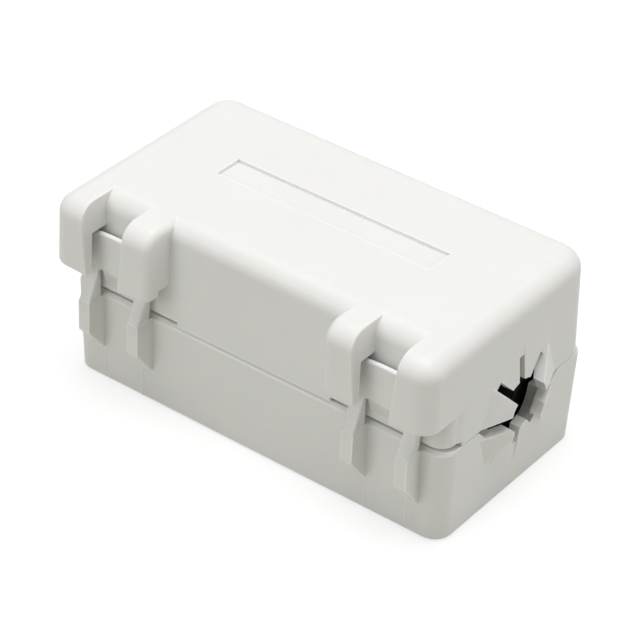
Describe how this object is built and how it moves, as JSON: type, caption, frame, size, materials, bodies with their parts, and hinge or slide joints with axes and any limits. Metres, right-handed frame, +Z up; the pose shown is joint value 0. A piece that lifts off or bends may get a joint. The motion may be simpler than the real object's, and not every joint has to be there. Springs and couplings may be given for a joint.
{
  "type": "clip-on ferrite bead",
  "caption": "Hinged rectangular plastic case with snap-hoop latches that closes a split ferrite core round a cable to damp high-frequency noise.",
  "frame": {"origin": "on the cable axis, midway along the case, 0.35 mm below the parting plane", "axes": "+X along the cable, +Y towards the film hinge, +Z up through the lid"},
  "size_m": [0.0382, 0.022, 0.0175],
  "materials": {
    "nylon": "satin moulded pale grey nylon",
    "ferrite": "matt black sintered ferrite with ground mating faces"
  },
  "bodies": {
    "base": {"lower_case": "nylon", "lower_core": "ferrite", "hinge_web_left": "nylon", "hinge_web_right": "nylon"},
    "lid": {"upper_case": "nylon", "upper_core": "ferrite"},
    "left_hoop": {"latch_left": "nylon"},
    "right_hoop": {"latch_right": "nylon"}
  },
  "joints": [
    {"name": "lid_hinge", "type": "hinge", "parent": "base", "child": "lid", "pos_m": [0, 0.01013, 0.00039], "axis": [-1, 0, 0], "range_deg": [0, 180], "deforming": ["hinge_web_left", "hinge_web_right"]},
    {"name": "left_hoop_flex", "type": "hinge", "parent": "base", "child": "left_hoop", "pos_m": [-0.0128, -0.01115, 0.00015], "axis": [1, 0, 0], "range_deg": [0, 5.5], "stiffness_Nm_per_rad": 0.02},
    {"name": "right_hoop_flex", "type": "hinge", "parent": "base", "child": "right_hoop", "pos_m": [0.0128, -0.01115, 0.00015], "axis": [1, 0, 0], "range_deg": [0, 5.5], "stiffness_Nm_per_rad": 0.02}
  ]
}
